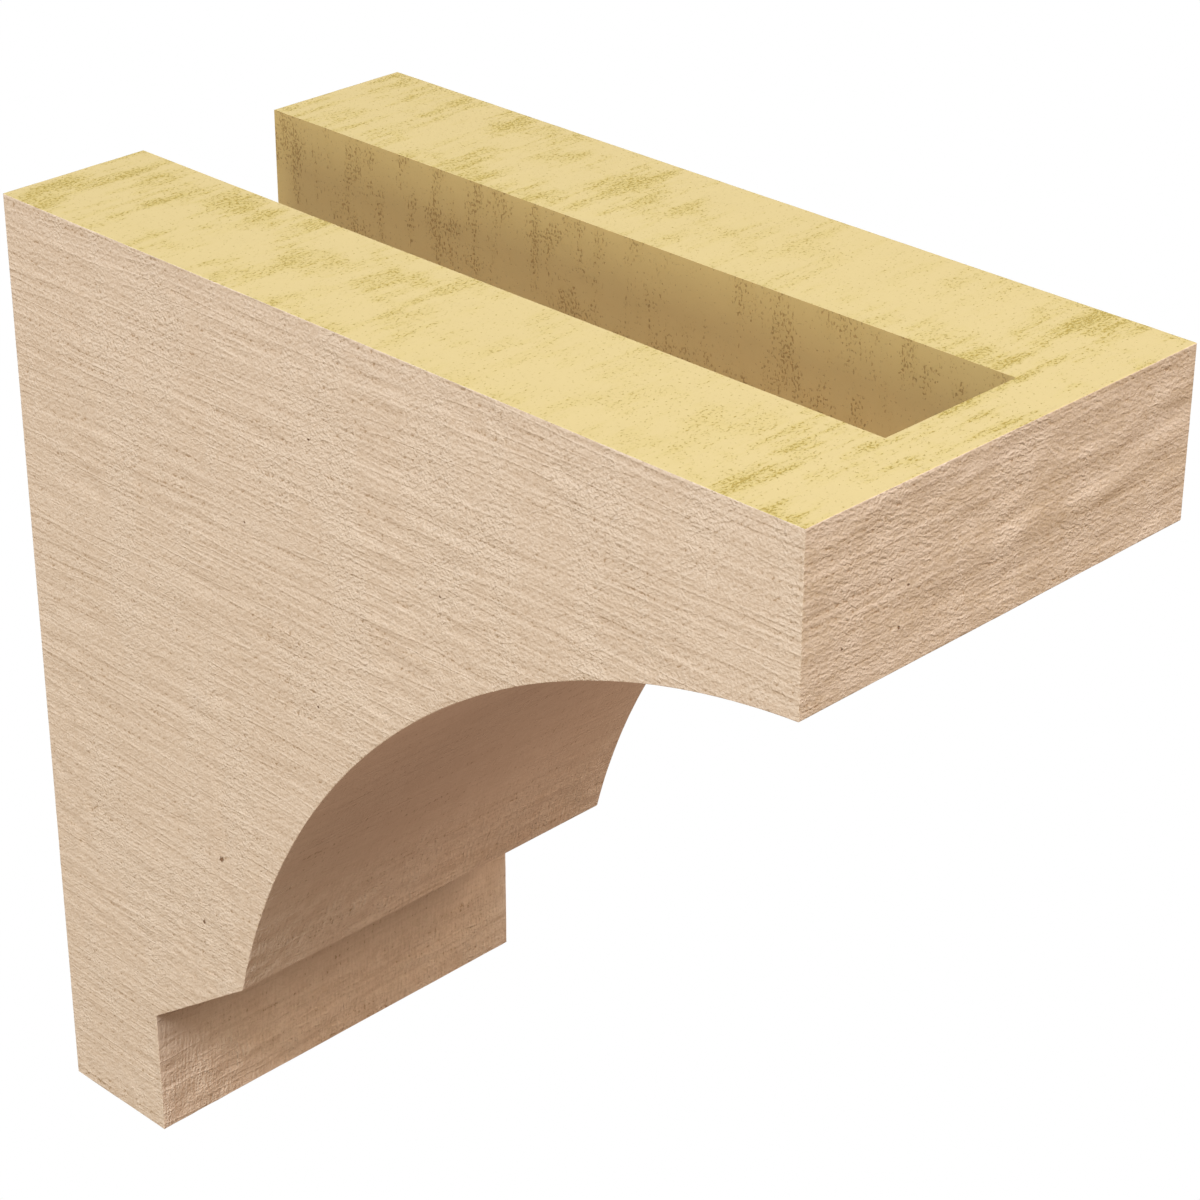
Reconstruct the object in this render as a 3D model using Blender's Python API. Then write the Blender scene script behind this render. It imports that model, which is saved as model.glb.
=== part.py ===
"""A rough-sawn faux-timber corbel, moulded in one piece from rigid polyurethane foam.

The corbel is one block: a square nose, a hollow cove below it, a sloping lip and a small foot
against the wall. A slot, open at the top and at the back, lets it slip over a timber bracket.
X runs across the corbel, -Y points away from the wall and +Z is up. The origin is on the wall
plane, in the middle of the solid web under the slot.
"""

import math

import bmesh
import bpy
from mathutils import Vector

INCH = 0.0254

# Driving dimensions of the block, in metres. The outline starts at the foot's lower back edge.
WIDTH = 6 * INCH
REACH = 12 * INCH
HEIGHT = 12 * INCH
NOSE_HEIGHT = 2 * INCH

# The foot against the wall, and the lip above it where the cove ends.
FOOT_REACH = 1.76 * INCH
FOOT_HEIGHT = 1.72 * INCH
LIP_REACH = 3.5 * INCH
LIP_HEIGHT = 2.93 * INCH

# The cove is one arc, from the lip up to the nose's lower edge.
COVE_RADIUS = 9.56 * INCH
COVE_STEPS = 32

# The slot, and the foam that it leaves in front of it and below it.
SLOT_WIDTH = 2 * INCH
SLOT_WALL = 0.75 * INCH

# How far the cutter stands out of the faces that the slot opens.
CUTTER_OVERRUN = 0.01

# The web of foam under the slot is what meets the wall on the centre line.
ORIGIN_HEIGHT = SLOT_WALL / 2

# Points nearer than this are one corner.
WELD_DISTANCE = 1e-5

PRIMED_SKIN = (0.60, 0.44, 0.31, 1.0)
SKIN_ROUGHNESS = 0.85

NOSE_EDGE = Vector((REACH, HEIGHT - NOSE_HEIGHT))
LIP_EDGE = Vector((LIP_REACH, LIP_HEIGHT))
FOOT_EDGE = Vector((FOOT_REACH, FOOT_HEIGHT))


def clear_scene():
    """Removes the objects that the scene starts with."""
    for obj in list(bpy.data.objects):
        bpy.data.objects.remove(obj)


def make_collection(name, rendered=True):
    """Makes a collection under the scene's own."""
    collection = bpy.data.collections.new(name)
    collection.hide_render = not rendered
    bpy.context.scene.collection.children.link(collection)
    return collection


def make_material(name, colour, roughness):
    """Makes a plain matt finish."""
    material = bpy.data.materials.new(name)
    material.diffuse_color = colour
    material.use_nodes = True
    shader = material.node_tree.nodes["Principled BSDF"]
    shader.inputs["Base Color"].default_value = colour
    shader.inputs["Roughness"].default_value = roughness
    shader.inputs["Metallic"].default_value = 0.0
    return material


def cove_centre():
    """Finds the arc's centre, which lies in the open, in front of the cove and below the nose."""
    half_chord = (NOSE_EDGE - LIP_EDGE) / 2
    outwards = Vector((half_chord.y, -half_chord.x)).normalized()
    sagitta_side = math.sqrt(COVE_RADIUS**2 - half_chord.length_squared)
    return LIP_EDGE + half_chord + outwards * sagitta_side


def arc(centre, first, last):
    """Steps round a circle from one of its points to another, both included."""
    radius = (first - centre).length
    start, end = (math.atan2(p.y - centre.y, p.x - centre.x) for p in (first, last))
    turns = [start + (end - start) * step / COVE_STEPS for step in range(COVE_STEPS + 1)]
    return [centre + radius * Vector((math.cos(turn), math.sin(turn))) for turn in turns]


def body_outline():
    """Draws the corbel from the side, as distance from the wall and height above the foot."""
    foot = [Vector((0, 0)), Vector((FOOT_REACH, 0)), FOOT_EDGE]
    cove = arc(cove_centre(), LIP_EDGE, NOSE_EDGE)
    top = [Vector((REACH, HEIGHT)), Vector((0, HEIGHT))]
    return foot + cove + top


def slot_outline():
    """Draws the slot from the side: the body's outline moved in by the wall, open above and behind."""
    centre = cove_centre()
    radius = COVE_RADIUS + SLOT_WALL
    back = -CUTTER_OVERRUN
    top = HEIGHT + CUTTER_OVERRUN
    front = REACH - SLOT_WALL
    foot_front = FOOT_REACH - SLOT_WALL

    # The underside of the lip, moved into the foam, runs from behind the foot up to the cove's arc.
    slope = (LIP_EDGE - FOOT_EDGE).normalized()
    inside = FOOT_EDGE + Vector((-slope.y, slope.x)) * SLOT_WALL
    knee = inside + slope * (foot_front - inside.x) / slope.x
    along = slope.dot(inside - centre)
    half_crossing = math.sqrt(along**2 - (inside - centre).length_squared + radius**2)
    lip = inside - slope * (along + half_crossing)

    nose = Vector((front, centre.y + math.sqrt(radius**2 - (front - centre.x) ** 2)))
    foot = [Vector((back, SLOT_WALL)), Vector((foot_front, SLOT_WALL)), knee]
    return foot + arc(centre, lip, nose) + [Vector((front, top)), Vector((back, top))]


def weld(mesh):
    """Joins the loose caps of a filled curve to its sides, and turns every face outwards."""
    shell = bmesh.new()
    shell.from_mesh(mesh)
    bmesh.ops.remove_doubles(shell, verts=shell.verts, dist=WELD_DISTANCE)
    bmesh.ops.recalc_face_normals(shell, faces=shell.faces)
    shell.to_mesh(mesh)
    shell.free()


def plate_from_outline(name, outline, thickness, collection):
    """Fills an outline to a flat plate, stood upright against the wall and centred on X = 0."""
    drawing = bpy.data.curves.new(name, "CURVE")
    drawing.dimensions = "2D"
    drawing.fill_mode = "BOTH"
    drawing.extrude = thickness / 2
    edge = drawing.splines.new("POLY")
    edge.points.add(len(outline) - 1)
    for point, corner in zip(edge.points, outline):
        point.co = (corner.x, corner.y, 0, 1)
    edge.use_cyclic_u = True

    curve = bpy.data.objects.new(name, drawing)
    collection.objects.link(curve)
    curve.rotation_euler = (math.radians(90), 0, math.radians(-90))
    curve.location.z = -ORIGIN_HEIGHT
    bpy.context.view_layer.update()

    evaluated = curve.evaluated_get(bpy.context.evaluated_depsgraph_get())
    mesh = bpy.data.meshes.new_from_object(evaluated)
    weld(mesh)
    standing = curve.matrix_world.copy()
    bpy.data.objects.remove(curve)

    plate = bpy.data.objects.new(name, mesh)
    plate.matrix_world = standing
    collection.objects.link(plate)
    return plate


def make_slot_cutter(collection):
    """Makes the block that is taken out of the corbel to leave its slot."""
    cutter = plate_from_outline("slot_cutter", slot_outline(), SLOT_WIDTH, collection)
    cutter.hide_render = True
    cutter.display_type = "WIRE"
    return cutter


def make_corbel(collection, cutter):
    """Makes the moulded block and opens the slot in it."""
    corbel = plate_from_outline("corbel", body_outline(), WIDTH, collection)
    corbel.data.materials.append(make_material("primed_skin", PRIMED_SKIN, SKIN_ROUGHNESS))
    slot = corbel.modifiers.new("slot", "BOOLEAN")
    slot.operation = "DIFFERENCE"
    slot.solver = "EXACT"
    slot.object = cutter
    return corbel


def main():
    clear_scene()
    parts = make_collection("corbel")
    cutters = make_collection("cutters", rendered=False)
    make_corbel(parts, make_slot_cutter(cutters))


main()
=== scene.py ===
# %% [markdown]
# # A rough-sawn foam corbel
#
# The real thing is a corbel that looks like a sawn timber block and can be lifted with one hand.
# It is poured as one piece of rigid polyurethane foam. The mould was taken from sawn wood, so the
# sides carry its grain, and they get a coat of tan primer. The top, the back and the slot for the
# bracket stay bare, so the yellow foam and its pores show there.
#
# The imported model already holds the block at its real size. This script makes the surface that
# the eye sees: one closed mesh with the saw marks in its shape, and the two finishes.

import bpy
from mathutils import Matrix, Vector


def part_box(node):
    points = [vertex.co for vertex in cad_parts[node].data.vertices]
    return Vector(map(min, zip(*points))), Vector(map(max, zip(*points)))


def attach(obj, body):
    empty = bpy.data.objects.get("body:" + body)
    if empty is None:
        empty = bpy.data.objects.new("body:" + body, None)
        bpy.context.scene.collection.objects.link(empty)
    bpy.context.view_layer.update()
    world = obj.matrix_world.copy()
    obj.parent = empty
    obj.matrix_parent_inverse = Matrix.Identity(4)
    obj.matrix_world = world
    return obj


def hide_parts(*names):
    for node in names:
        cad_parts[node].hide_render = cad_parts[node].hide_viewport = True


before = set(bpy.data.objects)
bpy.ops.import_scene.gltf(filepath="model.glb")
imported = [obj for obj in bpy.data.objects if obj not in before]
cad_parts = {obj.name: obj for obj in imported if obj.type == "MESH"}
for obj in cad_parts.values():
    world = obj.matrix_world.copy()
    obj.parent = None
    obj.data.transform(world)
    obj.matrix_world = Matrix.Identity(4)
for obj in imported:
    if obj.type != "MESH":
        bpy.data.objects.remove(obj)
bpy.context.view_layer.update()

# %% [markdown]
# ## Sizes
#
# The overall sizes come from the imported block, so the new surface can't drift away from it. The
# smaller ones are those of the real moulding, which was drawn in inches. Seen from the side, each
# point has a reach, its distance from the wall, and a height above the underside of the foot.

# %% Sizes
import math

import bmesh
import bpy
import numpy as np
from mathutils import Quaternion, Vector

INCH = 0.0254
MM = 0.001

low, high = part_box("corbel")
WIDTH, REACH, HEIGHT = high - low
FOOT_BOTTOM = low.z

NOSE_HEIGHT = 2 * INCH
FOOT_EDGE = np.array([1.76, 1.72]) * INCH
LIP_EDGE = np.array([3.5, 2.93]) * INCH
NOSE_EDGE = np.array([REACH, HEIGHT - NOSE_HEIGHT])
COVE_RADIUS = 9.56 * INCH
SLOT_WIDTH = 2 * INCH
SLOT_WALL = 0.75 * INCH
SLOT_REACH = REACH - SLOT_WALL
print(f"the block is {WIDTH / MM:.1f} x {REACH / MM:.1f} x {HEIGHT / MM:.1f} mm")

# %% [markdown]
# ## Spacing the grid lines
#
# Every face of the block becomes a grid of small squares. Most lines stand evenly, and a few more
# stand close to each outer edge. They let the edge be rounded by a third of a millimetre, as a
# moulded edge is. A true knife edge never catches the light, and so it looks like a drawing.

# %% Grid lines
EDGE_ROUNDING = 0.3 * MM
EDGE_LINES = EDGE_ROUNDING * np.array([0.0, 0.6, 1.0, 1.8])
EDGE_BAND = EDGE_LINES[-1]


def grid_lines(length, cells, rounded_start=True, rounded_end=True):
    """Distances from 0 to length: evenly spaced ones between the lines that stand near a rounded edge."""
    near_start = EDGE_LINES if rounded_start else np.zeros(1)
    near_end = length - EDGE_LINES[::-1] if rounded_end else np.full(1, length)
    evenly = cells - len(near_start) - len(near_end) + 2
    between = np.linspace(near_start[-1], near_end[0], evenly + 1)
    return np.concatenate([near_start[:-1], between, near_end[1:]])


# Across the block: one side of the slot, the slot, the other side.
CHEEK_CELLS, SLOT_CELLS = 22, 20
cheek = (WIDTH - SLOT_WIDTH) / 2
near_cheek = grid_lines(cheek, CHEEK_CELLS, rounded_end=False)
slot_across = np.linspace(cheek, cheek + SLOT_WIDTH, SLOT_CELLS + 1)
across = np.concatenate([near_cheek[:-1], slot_across, WIDTH - near_cheek[-2::-1]]) - WIDTH / 2

# Away from the wall: beside the slot, then in front of it.
SIDE_CELLS, BRIDGE_CELLS = 84, 9
beside_slot = grid_lines(SLOT_REACH, SIDE_CELLS, rounded_end=False)
before_slot = SLOT_REACH + grid_lines(SLOT_WALL, BRIDGE_CELLS, rounded_start=False)
outwards = np.concatenate([beside_slot, before_slot[1:]])
print(len(across), "lines across the block and", len(outwards), "away from the wall")

# %% [markdown]
# ## The outline
#
# The outer face climbs in four runs: the foot, the underside of the lip, the cove and the nose.
# Each run knows which way it goes and which way the foam is. Where two runs meet, the step into
# the foam is mitred, as in a picture frame, so that a line drawn at a steady distance inside the
# outline keeps that distance round the corners too.

# %% Outline
def straight_run(first, last, lines):
    """Points at the given distances on a straight line, and the one direction that it has."""
    direction = (last - first) / np.hypot(*(last - first))
    points = first + lines[:, None] * direction
    return points, np.broadcast_to(direction, points.shape), lines


def centre_of_arc(first, last, radius):
    """The point one radius from both ends, on the right of the way from first to last."""
    half = (last - first) / 2
    right = np.array([half[1], -half[0]]) / np.hypot(*half)
    return first + half + right * math.sqrt(radius**2 - half @ half)


def arc_angles(first, last, centre):
    """The angles of an arc's two ends about its centre."""
    return [math.atan2(*(point - centre)[::-1]) for point in (first, last)]


def arc_run(start, radius, centre, lines):
    """Points at the given distances clockwise round a circle: the angle falls evenly, and each point has its
    direction."""
    angle = start - lines / radius
    points = centre + radius * np.stack([np.cos(angle), np.sin(angle)], -1)
    return points, np.stack([np.sin(angle), -np.cos(angle)], -1), lines


COVE_CENTRE = centre_of_arc(LIP_EDGE, NOSE_EDGE, COVE_RADIUS)
cove_start, cove_end = arc_angles(LIP_EDGE, NOSE_EDGE, COVE_CENTRE)
COVE_LENGTH = COVE_RADIUS * (cove_start - cove_end)
LIP_LENGTH = np.hypot(*(LIP_EDGE - FOOT_EDGE))
FOOT_CELLS, LIP_CELLS, COVE_CELLS, NOSE_CELLS = 28, 30, 156, 38

foot_lines = grid_lines(FOOT_EDGE[1], FOOT_CELLS, rounded_end=False)
lip_lines = grid_lines(LIP_LENGTH, LIP_CELLS, rounded_start=False)
cove_lines = grid_lines(COVE_LENGTH, COVE_CELLS)
nose_lines = grid_lines(HEIGHT - NOSE_EDGE[1], NOSE_CELLS)
runs = {
    "foot": straight_run(np.array([FOOT_EDGE[0], 0.0]), FOOT_EDGE, foot_lines),
    "lip": straight_run(FOOT_EDGE, LIP_EDGE, lip_lines),
    "cove": arc_run(cove_start, COVE_RADIUS, COVE_CENTRE, cove_lines),
    "nose": straight_run(NOSE_EDGE, np.array([REACH, HEIGHT]), nose_lines),
}


def into_foam(direction):
    """The way into the foam, which lies on the left of every run: the direction turned by 90 degrees."""
    return np.stack([-direction[..., 1], direction[..., 0]], -1)


def mitre(before, after):
    """The step from a corner to the corner of the line one unit further in: both inward ways, added, and
    stretched until it is one unit deep on both sides."""
    first, second = into_foam(before), into_foam(after)
    return (first + second) / (1 + first @ second)


def outline_and_steps(runs):
    """All points of the outline, and for each the step inward: straight in, with a slide along the run that
    grows evenly from one mitred corner to the next."""
    runs = list(runs)
    corners = [mitre(before[1][-1], after[1][0]) for before, after in zip(runs, runs[1:])]
    level = np.array([-1.0, 0.0])
    points, steps = [], []
    for (place, direction, lines), first, last in zip(runs, [level] + corners, corners + [level]):
        share = (lines / lines[-1])[:, None]
        slide = (1 - share) * (direction[0] @ first) + share * (direction[-1] @ last)
        points.append(place)
        steps.append(into_foam(direction) + slide * direction)
    return (np.concatenate([points[0]] + [part[1:] for part in points[1:]]),
            np.concatenate([steps[0]] + [part[1:] for part in steps[1:]]))


outline, inward_steps = outline_and_steps(runs.values())
print("points up the outer face:", len(outline), "and the cove is", round(COVE_LENGTH / MM, 1), "mm long")

# %% [markdown]
# ## Repeatable noise
#
# Sawn wood is uneven, but neighbouring points are alike. Value noise gives that. Every crossing
# of a square lattice gets a number, and the points between are blended from the four crossings
# around them. The numbers come from whole-number arithmetic on the lattice position, so the same
# surface comes out each time.

# %% Noise
def lattice(column, row, seed):
    """A number from -1 to 1 for each lattice position: its parts are multiplied, added and folded."""
    mixed = (column * 374761393 + row * 668265263 + seed * 974634777) & 0xFFFFFFFF
    mixed = ((mixed ^ (mixed >> 13)) * 1274126177) & 0xFFFFFFFF
    return ((mixed ^ (mixed >> 16)) & 0xFFFF) / 32767.5 - 1


def ease(value, start=0.0, end=1.0):
    """0 up to start, 1 from end on, and an S-shaped rise between them."""
    share = np.clip((value - start) / (end - start), 0, 1)
    return share**2 * (3 - 2 * share)


def noise(x, y, seed):
    """Value noise: the four lattice numbers around a point, blended by eased distances."""
    column, row = np.floor(x).astype(np.int64), np.floor(y).astype(np.int64)
    right, up = ease(x - column), ease(y - row)
    bottom = lattice(column, row, seed) * (1 - right) + lattice(column + 1, row, seed) * right
    top = lattice(column, row + 1, seed) * (1 - right) + lattice(column + 1, row + 1, seed) * right
    return bottom * (1 - up) + top * up


sample = noise(np.linspace(0, 50, 1000), np.full(1000, 0.3), seed=1)
print("noise runs from", round(sample.min(), 2), "to", round(sample.max(), 2))

# %% [markdown]
# ## Saw marks as shape
#
# A bandsaw leaves lines along the cut, softer waves where the blade wandered, and ragged bands
# across the grain where fibres tore. The lower edges of the cove and the foot are chipped as
# well. All of it is shallower than a millimetre. Each kind of mark is noise that is stretched to
# the mark's real length and width.

# %% Relief
def sawn_relief(along, across_grain, seed):
    """Depth in metres: long thin noise for saw lines, broad noise for waves, chips that a second noise lets
    through for torn fibres, and single gouges where a slanting noise is highest."""
    drift = 1.5 * MM * noise(along / (45 * MM), across_grain / (30 * MM), seed)
    lines = noise(along / (40 * MM), (across_grain + drift) / (2.4 * MM), seed + 1)
    waves = noise(along / (60 * MM), across_grain / (24 * MM), seed + 2)
    torn = ease(noise(along / (16 * MM), across_grain / (80 * MM), seed + 3), 0.0, 0.6)
    chips = noise(along / (5 * MM), across_grain / (3 * MM), seed + 4)
    slanting = (along - 1.7 * across_grain) / (16 * MM), (across_grain + 0.4 * along) / (4 * MM)
    gouges = ease(noise(*slanting, seed + 5), 0.6, 0.95)
    return (0.15 * lines + 0.12 * waves + 0.32 * torn * chips + 0.36 * gouges) * MM


def nose_relief(along, across_grain, seed):
    """Depth in metres of the nose: the marks of the sides, wandering furrows along the grain, and more
    chips."""
    drift = 4 * MM * noise(along / (36 * MM), across_grain / (22 * MM), seed + 6)
    furrows = noise(along / (80 * MM), (across_grain + drift) / (6 * MM), seed + 7)
    chips = noise(along / (8 * MM), (across_grain + drift) / (3 * MM), seed + 8)
    return 0.7 * sawn_relief(along, across_grain, seed) + (0.24 * furrows + 0.20 * chips) * MM


def soft_relief(along, across_grain, seed):
    """Depth in metres where the mould was smoother: faint saw lines, waves and chips, and no torn fibres."""
    lines = noise(along / (30 * MM), across_grain / (2 * MM), seed + 1)
    waves = noise(along / (50 * MM), across_grain / (20 * MM), seed + 2)
    chips = noise(along / (7 * MM), across_grain / (4 * MM), seed + 3)
    return (0.10 * lines + 0.08 * waves + 0.14 * chips) * MM


def chipped_relief(along, above, seed):
    """Depth in metres of the cove and the foot: soft marks, and deeper chips towards the lower edge."""
    near_edge = 1 - ease(above, 12 * MM, 55 * MM)
    chips = noise((along + 0.6 * above) / (8 * MM), (above - 0.15 * along) / (3 * MM), seed + 4)
    return soft_relief(along, above, seed) + 0.7 * near_edge * chips * MM


def cut_relief(along, across_grain, seed):
    """Depth in metres of bare foam: only the slight swell that a poured face has."""
    return 0.03 * MM * noise(along / (26 * MM), across_grain / (18 * MM), seed)


def no_relief(along, across_grain, seed):
    """Depth of a face that stays flat."""
    return 0 * along


marks = sawn_relief(*np.meshgrid(outwards, outwards), 3) / MM
print("saw marks on a side run from", round(marks.min(), 2), "to", round(marks.max(), 2), "mm deep")

# %% [markdown]
# ## Panels
#
# Each face of the block is one panel: a grid of points, and for each point where it lies along
# and across the grain. The grain position drives the relief, and it is kept as the UV map, so
# that paint and pores follow the face that they are on. The relief fades out just before an
# edge, which keeps the edges true.

# %% Panels
FINISHES = ["sawn_side", "sawn_nose", "sawn_cove", "bare_top", "bare_slot"]

# How deep a quarter round lies below the flat at each of the lines near an edge.
EDGE_DEPTHS = EDGE_ROUNDING * np.array([1 - math.sqrt(0.5), 1 - math.sqrt(1 - 0.4**2), 0, 0])

# How far the grain position moves on from one panel to the next, in metres.
PANEL_STEP = 0.4
panels = []


def rounding(shape, rounded):
    """How deep the rounding cuts, line by line from the first row, the last row, the first column and the
    last column, as far as each is wanted."""
    depth = np.zeros(shape)
    borders = (depth, depth[::-1], depth.T, depth.T[::-1])
    for border in [view[:len(EDGE_DEPTHS)] for view, wanted in zip(borders, rounded) if wanted]:
        np.maximum(border, EDGE_DEPTHS[:, None], out=border)
    return depth


def cells_of(shape):
    """The four corner numbers of each cell in a grid whose points are counted row by row."""
    number = np.arange(shape[0] * shape[1]).reshape(shape)
    return np.stack([number[:-1, :-1], number[:-1, 1:], number[1:, 1:], number[1:, :-1]], -1)


def facing(faces, points, outward):
    """The faces, each turned round if its corners run clockwise when it is seen from outside."""
    a, b, c = points[faces[:, 0]], points[faces[:, 1]], points[faces[:, 2]]
    inside_out = (np.cross(b - a, c - a) * outward[faces[:, 0]]).sum(-1).sum() < 0
    return faces[:, ::-1] if inside_out else faces


def note_panel(points, outward, grain, depth, finish, faces):
    """Keeps one panel as flat lists, with its grain position moved so that no two panels share a pattern."""
    flat = points.reshape(-1, 3)
    outward = np.broadcast_to(np.asarray(outward, float), points.shape).reshape(-1, 3)
    shift = np.array([PANEL_STEP * len(panels), 0])
    panels.append({
        "points": flat,
        "push": -outward * depth.reshape(-1, 1),
        "grain": grain.reshape(-1, 2) + shift,
        "finish": FINISHES.index(finish),
        "faces": [facing(group, flat, outward) for group in faces],
    })


def add_panel(points, outward, grain, finish, relief, rounded=(True,) * 4, room=None, keep=None):
    """Adds one grid. Its depth is the relief, eased in with the room to the nearest edge, and the rounding,
    which a slow noise makes uneven, as wear does."""
    if room is None:
        ends = grain[0, 0], grain[-1, -1]
        room = np.minimum(abs(grain - ends[0]), abs(grain - ends[1])).min(-1)
    seed = 10 * len(panels)
    marks = relief(grain[..., 0], grain[..., 1], seed) * ease(room, 0.4 * MM, 2.4 * MM)
    wear = 1 + 0.5 * noise(points.sum(-1) / (6 * MM), (points[..., 2] - points[..., 1]) / (9 * MM), 5)
    cells = cells_of(points.shape[:2])
    faces = cells.reshape(-1, 4) if keep is None else cells[keep]
    note_panel(points, outward, grain, marks + wear * rounding(points.shape[:2], rounded), finish, [faces])


def in_space(x, reach, height):
    """Points of the model: X across, -Y away from the wall, +Z up from the underside of the foot."""
    x, reach, height = np.broadcast_arrays(x, reach, height)
    return np.stack([x, -reach, height + FOOT_BOTTOM], -1)


print("a panel's edge is cut back by up to", round(EDGE_DEPTHS[0] / MM, 2), "mm")

# %% [markdown]
# ## The two sides
#
# A side is flat, with a curved front edge. Straight rows run from the back edge to the outline,
# and they fan out gently on the way. The last lines before the outline follow it at a steady
# distance, because the rounding of the edge needs that.

# %% Sides
# The back and the slot keep every fourth row, and the first rows are those of the web under the slot.
COARSE = 4
WEB_CELLS = 16
ROWS = len(outline) - 1
web_lines = grid_lines(SLOT_WALL, WEB_CELLS, rounded_end=False)
above_web = SLOT_WALL + grid_lines(HEIGHT - SLOT_WALL, ROWS - WEB_CELLS, rounded_start=False)
back_heights = np.concatenate([web_lines, above_web[1:]])
back_edge = np.stack([np.zeros(ROWS + 1), back_heights], -1)


def side_grid():
    """Rows from the back edge to the outline: a few lines off each end, and the rest shared out between."""
    level = np.array([1.0, 0.0])
    behind = back_edge[:, None] + EDGE_LINES[:, None] * level
    ahead = outline[:, None] + EDGE_LINES[::-1, None] * inward_steps[:, None]
    inner = outwards[len(EDGE_LINES):-len(EDGE_LINES)]
    share = ((inner - EDGE_BAND) / (REACH - 2 * EDGE_BAND))[:, None]
    between = behind[:, -1:] + share * (ahead[:, :1] - behind[:, -1:])
    return np.concatenate([behind, between, ahead], 1)


def room_on_side(place):
    """How far a point of the side is from its nearest edge. Above the lip that is the cove's circle, and
    beside the inner corner under the lip it is the further one of the two edges that meet there."""
    reach, height = place[..., 0], place[..., 1]
    to_lip = (place - LIP_EDGE) @ into_foam(runs["lip"][1][0])
    to_cove = np.hypot(*np.moveaxis(place - COVE_CENTRE, -1, 0)) - COVE_RADIUS
    below = np.maximum(FOOT_EDGE[0] - reach, to_lip)
    straight = np.minimum.reduce([reach, REACH - reach, height, HEIGHT - height, below])
    return np.minimum(straight, np.where(height > LIP_EDGE[1] - EDGE_BAND, to_cove, straight))


side = side_grid()
side_room = room_on_side(side)
for hand in (-1, 1):
    add_panel(in_space(hand * WIDTH / 2, side[..., 0], side[..., 1]), (hand, 0, 0), side,
              "sawn_side", sawn_relief, room=side_room)
print("points on a side:", side[..., 0].size, "and the least room is", round(side_room.min() / MM, 3), "mm")

# %% [markdown]
# ## The front, the underside and the top
#
# These are plain bands: the lines across the block, carried along a run of points. The top is
# the same, with the cells over the slot left out.

# %% Front, underside and top
def band(run, lines, columns):
    """A band carried along a run of points, and its grain position: across the block, then along the run."""
    points = in_space(columns[None], run[:, 0, None], run[:, 1, None])
    return points, np.stack(np.broadcast_arrays(columns[None], lines[:, None]), -1)


def outward_of(direction):
    """The way out of the foam, as a direction of the model, for each point of a run."""
    inward = into_foam(direction)
    return np.stack([np.zeros(len(inward)), inward[:, 0], -inward[:, 1]], -1)[:, None]


FRONT = {
    "nose": ("sawn_nose", nose_relief, (True,) * 4),
    "cove": ("sawn_cove", chipped_relief, (True,) * 4),
    "lip": ("sawn_cove", soft_relief, (False, True, True, True)),
    "foot": ("sawn_cove", chipped_relief, (True, False, True, True)),
}
for name, (finish, relief, rounded) in FRONT.items():
    run, direction, lines = runs[name]
    points, grain = band(run, lines, across)
    add_panel(points, outward_of(direction), grain, finish, relief, rounded)

under = side[0]
points, grain = band(under, under[:, 0], across)
add_panel(points, (0, 0, -1), grain, "sawn_cove", soft_relief)

top = side[-1]
over_slot = np.zeros((len(top) - 1, len(across) - 1), bool)
over_slot[:SIDE_CELLS, CHEEK_CELLS:CHEEK_CELLS + SLOT_CELLS] = True
points, grain = band(top, top[:, 0], across)
add_panel(points, (0, 0, 1), grain, "bare_top", cut_relief, keep=~over_slot)
print("panels so far:", len(panels), "with", sum(len(panel["points"]) for panel in panels), "points")

# %% [markdown]
# ## The back
#
# The sides need fine rows, and the plain back doesn't. So the back keeps every fourth row, and
# along its two outer edges each of its cells is joined to four rows of the side by a small fan
# of triangles. Without that the seam would be open.

# %% Back
coarse = back_heights[::COARSE]
behind_slot = np.zeros((len(coarse) - 1, len(across) - 1), bool)
behind_slot[WEB_CELLS // COARSE:, CHEEK_CELLS:CHEEK_CELLS + SLOT_CELLS] = True
behind_slot[:, [0, -1]] = True
points = in_space(across[None], 0.0, coarse[:, None])
grain = np.stack(np.broadcast_arrays(coarse[:, None], across[None]), -1)
back_rounding = (False, False, True, True)
add_panel(points, (0, 1, 0), grain, "bare_slot", cut_relief, back_rounding, keep=~behind_slot)


def fans(fine_count):
    """Triangles between a fine edge, counted first, and a coarse one: the lower coarse point takes two fine
    steps, one triangle joins the coarse points, and the upper one takes the last two fine steps."""
    fine = np.arange(0, fine_count - 1, COARSE)
    near = fine_count + np.arange(len(fine))
    far = near + 1
    corners = [(near, fine, fine + 1), (near, fine + 1, fine + 2), (near, fine + 2, far),
               (far, fine + 2, fine + 3), (far, fine + 3, fine + 4)]
    return np.concatenate([np.stack(corner, -1) for corner in corners])


for edge, inner in ((across[0], across[1]), (across[-1], across[-2])):
    x = np.concatenate([np.full(ROWS + 1, edge), np.full(len(coarse), inner)])
    heights = np.concatenate([back_heights, coarse])
    points = in_space(x, 0.0, heights)
    depth = np.where(x == edge, EDGE_DEPTHS[0], 0.0)
    note_panel(points, (0, 1, 0), np.stack([heights, x], -1), depth, "bare_slot", [fans(ROWS + 1)])
print("triangles in a seam:", len(fans(ROWS + 1)))

# %% [markdown]
# ## The slot
#
# The slot follows the outline at the thickness of its wall, so the foam below it is as thick as
# the foam in front of it. The corners of that inner line come first: the knee behind the foot,
# the point where the line under the lip meets the cove's wider circle, and the two ends of the
# upright in front. Then the line is drawn from run to run, as the outline was.

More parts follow.
